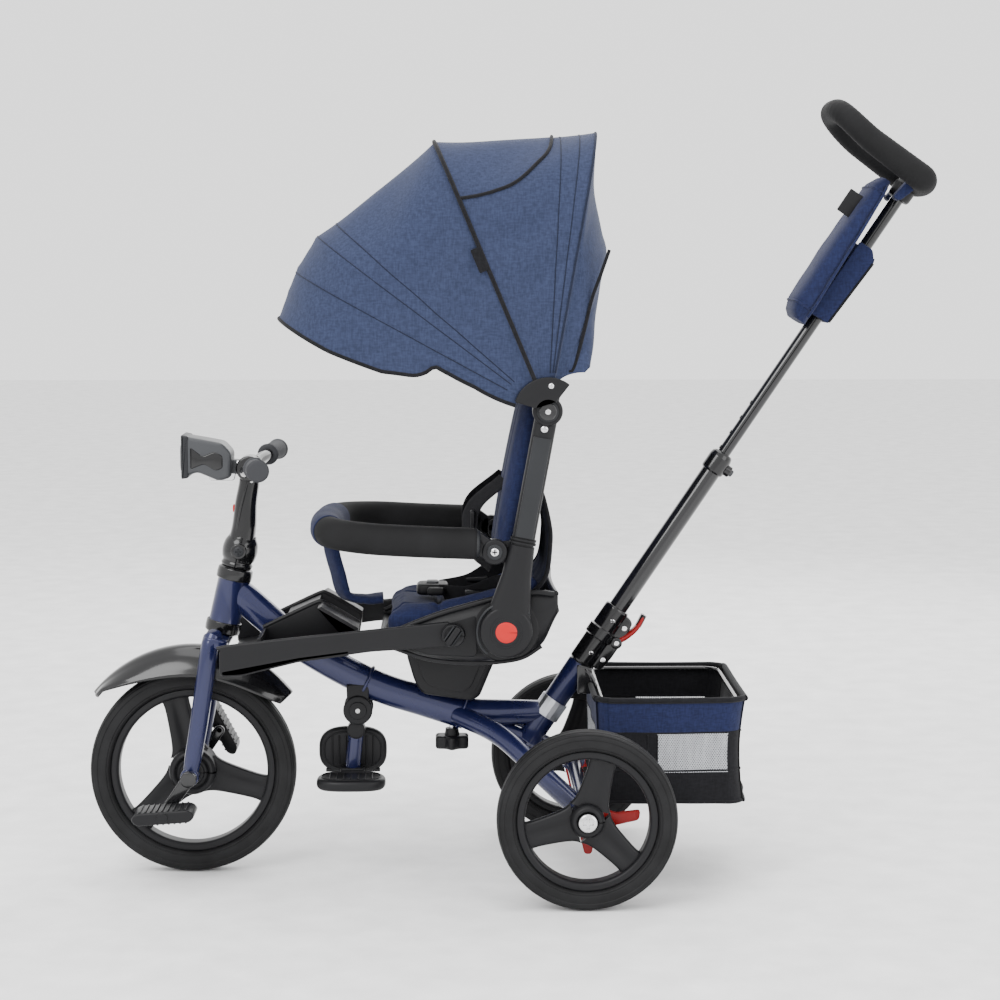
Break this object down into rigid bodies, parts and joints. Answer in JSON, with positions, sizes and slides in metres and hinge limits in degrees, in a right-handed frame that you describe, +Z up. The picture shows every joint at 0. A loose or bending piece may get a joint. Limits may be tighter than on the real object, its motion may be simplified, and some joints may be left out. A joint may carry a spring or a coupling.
{
  "type": "children's push tricycle",
  "caption": "Three-wheeled child's push tricycle with pedals, reclining seat, folding canopy, safety bar, rear basket and telescopic push pole.",
  "frame": {"origin": "on the floor, in the middle of the tricycle's footprint box", "axes": "+Z up, front wheel towards -Y, push handle and basket towards +Y, the rider's left side towards +X"},
  "size_m": [0.513, 1.2127, 1.111],
  "materials": {
    "frame_paint": "deep navy gloss enamel",
    "black_steel": "gloss black enamel on steel tube",
    "black_plastic": "black moulded plastic with a fine grain",
    "grey_plastic": "grey moulded plastic",
    "grip_rubber": "soft grey rubber",
    "tyre_rubber": "black foam rubber with fine ridges",
    "black_foam": "black closed-cell foam",
    "navy_fabric": "navy heathered woven polyester",
    "canopy_fabric": "denim blue heathered woven polyester",
    "red_plastic": "red moulded plastic",
    "bright_steel": "bright steel"
  },
  "bodies": {
    "chassis": {"main_frame": "frame_paint", "headset_lower": "black_plastic", "headset_upper": "black_plastic", "rear_axle": "bright_steel", "wheel_bolt_left": "bright_steel", "wheel_bolt_right": "bright_steel", "seat_pedestal": "black_plastic", "seat_base": "black_plastic", "seat_cushion": "navy_fabric", "reflector_sleeve": "bright_steel", "lower_mast": "black_steel", "mast_clamp": "black_plastic", "mast_collar": "black_plastic", "basket": "navy_fabric", "basket_frame": "black_steel", "footrest_bracket": "black_plastic"},
    "steering": {"fork": "frame_paint", "front_fender": "black_plastic", "steering_ball": "black_plastic", "stem": "black_plastic", "handlebar": "black_steel", "grip_left": "grip_rubber", "grip_right": "grip_rubber", "light_unit": "grey_plastic"},
    "front_wheel": {"front_tyre": "tyre_rubber", "front_rim": "black_plastic", "crankshaft": "black_steel"},
    "pedal_left": {"pedal_left": "black_plastic"},
    "pedal_right": {"pedal_right": "black_plastic"},
    "rear_wheel_left": {"rear_tyre_left": "tyre_rubber", "rear_rim_left": "black_plastic"},
    "rear_wheel_right": {"rear_tyre_right": "tyre_rubber", "rear_rim_right": "black_plastic"},
    "brake_left": {"brake_lever_left": "red_plastic"},
    "brake_right": {"brake_lever_right": "red_plastic"},
    "footrest": {"footrest_post": "frame_paint"},
    "footpad_left": {"footpad_left": "black_plastic"},
    "footpad_right": {"footpad_right": "black_plastic"},
    "leg_rest": {"leg_rest": "black_plastic"},
    "leg_knob_left": {"leg_knob_left": "black_plastic"},
    "leg_knob_right": {"leg_knob_right": "black_plastic"},
    "seat_clamp": {"seat_clamp_knob": "black_plastic"},
    "backrest": {"backrest_frame": "black_plastic", "backrest_pad": "navy_fabric", "canopy_rear_panel": "canopy_fabric"},
    "recline_button_left": {"recline_button_left": "red_plastic"},
    "recline_button_right": {"recline_button_right": "red_plastic"},
    "safety_bar": {"safety_bar_frame": "black_plastic", "safety_bar_foam": "black_foam", "crotch_strap": "navy_fabric"},
    "canopy_middle": {"canopy_middle_bow": "black_steel", "canopy_middle_panel": "canopy_fabric"},
    "canopy_front": {"canopy_front_bow": "black_steel", "canopy_front_panel": "canopy_fabric"},
    "upper_pole": {"upper_mast": "black_steel", "push_handle": "black_foam", "handle_bag": "navy_fabric"},
    "quick_release": {"quick_release_lever": "red_plastic"},
    "pole_pin": {"mast_pin_button": "black_plastic"},
    "stem_button": {"stem_button": "red_plastic"}
  },
  "joints": [
    {"name": "steering_turn", "type": "hinge", "parent": "chassis", "child": "steering", "pos_m": [0, -0.412, 0.3576], "axis": [0, 0.2233, 0.9748], "range_deg": [-40, 40]},
    {"name": "front_wheel_spin", "type": "hinge", "parent": "steering", "child": "front_wheel", "pos_m": [0, -0.4564, 0.15], "axis": [1, 0, 0], "continuous": true},
    {"name": "pedal_left_spin", "type": "hinge", "parent": "front_wheel", "child": "pedal_left", "pos_m": [0.112, -0.48696, 0.10793], "axis": [1, 0, 0], "continuous": true},
    {"name": "pedal_right_spin", "type": "hinge", "parent": "front_wheel", "child": "pedal_right", "pos_m": [-0.112, -0.42584, 0.19207], "axis": [1, 0, 0], "continuous": true},
    {"name": "rear_wheel_left_spin", "type": "hinge", "parent": "chassis", "child": "rear_wheel_left", "pos_m": [0.228, 0.1076, 0.125], "axis": [1, 0, 0], "continuous": true},
    {"name": "rear_wheel_right_spin", "type": "hinge", "parent": "chassis", "child": "rear_wheel_right", "pos_m": [-0.228, 0.1076, 0.125], "axis": [1, 0, 0], "continuous": true},
    {"name": "brake_left_press", "type": "hinge", "parent": "chassis", "child": "brake_left", "pos_m": [0.195, 0.1076, 0.125], "axis": [1, 0, 0], "range_deg": [-18, 0]},
    {"name": "brake_right_press", "type": "hinge", "parent": "chassis", "child": "brake_right", "pos_m": [-0.195, 0.1076, 0.125], "axis": [1, 0, 0], "range_deg": [-18, 0]},
    {"name": "footrest_fold", "type": "hinge", "parent": "chassis", "child": "footrest", "pos_m": [0, -0.2154, 0.239], "axis": [1, 0, 0], "range_deg": [0, 50]},
    {"name": "footpad_left_fold", "type": "hinge", "parent": "footrest", "child": "footpad_left", "pos_m": [0.019, -0.2244, 0.143], "axis": [0, -1, 0], "range_deg": [0, 90]},
    {"name": "footpad_right_fold", "type": "hinge", "parent": "footrest", "child": "footpad_right", "pos_m": [-0.019, -0.2244, 0.143], "axis": [0, -1, 0], "range_deg": [0, 90]},
    {"name": "leg_rest_tilt", "type": "hinge", "parent": "chassis", "child": "leg_rest", "pos_m": [0, -0.0764, 0.37], "axis": [1, 0, 0], "range_deg": [-10, 0]},
    {"name": "leg_knob_left_turn", "type": "hinge", "parent": "chassis", "child": "leg_knob_left", "pos_m": [0.155, -0.0764, 0.37], "axis": [1, 0, 0], "range_deg": [0, 90]},
    {"name": "leg_knob_right_turn", "type": "hinge", "parent": "chassis", "child": "leg_knob_right", "pos_m": [-0.155, -0.0764, 0.37], "axis": [1, 0, 0], "range_deg": [0, 90]},
    {"name": "seat_clamp_turn", "type": "hinge", "parent": "chassis", "child": "seat_clamp", "pos_m": [0, -0.0784, 0.19], "axis": [0, 0, 1], "range_deg": [-180, 180]},
    {"name": "backrest_recline", "type": "hinge", "parent": "chassis", "child": "backrest", "pos_m": [0, -0.0024, 0.376], "axis": [1, 0, 0], "range_deg": [-15, 0]},
    {"name": "recline_button_left_press", "type": "slide", "parent": "backrest", "child": "recline_button_left", "axis": [-1, 0, 0], "range_m": [0, 0.003], "stiffness_N_per_m": 400, "springref_m": -0.002},
    {"name": "recline_button_right_press", "type": "slide", "parent": "backrest", "child": "recline_button_right", "axis": [1, 0, 0], "range_m": [0, 0.003], "stiffness_N_per_m": 400, "springref_m": -0.002},
    {"name": "safety_bar_lift", "type": "hinge", "parent": "backrest", "child": "safety_bar", "pos_m": [0, -0.0184, 0.488], "axis": [1, 0, 0], "range_deg": [-70, 0]},
    {"name": "canopy_middle_fold", "type": "hinge", "parent": "backrest", "child": "canopy_middle", "pos_m": [0, 0.0546, 0.684], "axis": [1, 0, 0], "range_deg": [-26, 0]},
    {"name": "canopy_front_fold", "type": "hinge", "parent": "canopy_middle", "child": "canopy_front", "pos_m": [0, 0.0546, 0.684], "axis": [1, 0, 0], "range_deg": [-26, 0]},
    {"name": "pole_slide", "type": "slide", "parent": "chassis", "child": "upper_pole", "axis": [0, 0.5592, 0.829], "range_m": [-0.13, 0]},
    {"name": "quick_release_open", "type": "hinge", "parent": "chassis", "child": "quick_release", "pos_m": [0, 0.16135, 0.33523], "axis": [1, 0, 0], "range_deg": [-80, 0]},
    {"name": "pole_pin_press", "type": "slide", "parent": "chassis", "child": "pole_pin", "axis": [0, -0.829, 0.5592], "range_m": [0, 0.003], "stiffness_N_per_m": 300, "springref_m": -0.002},
    {"name": "stem_button_press", "type": "slide", "parent": "steering", "child": "stem_button", "axis": [0, 1, 0], "range_m": [0, 0.003], "stiffness_N_per_m": 300, "springref_m": -0.002}
  ]
}
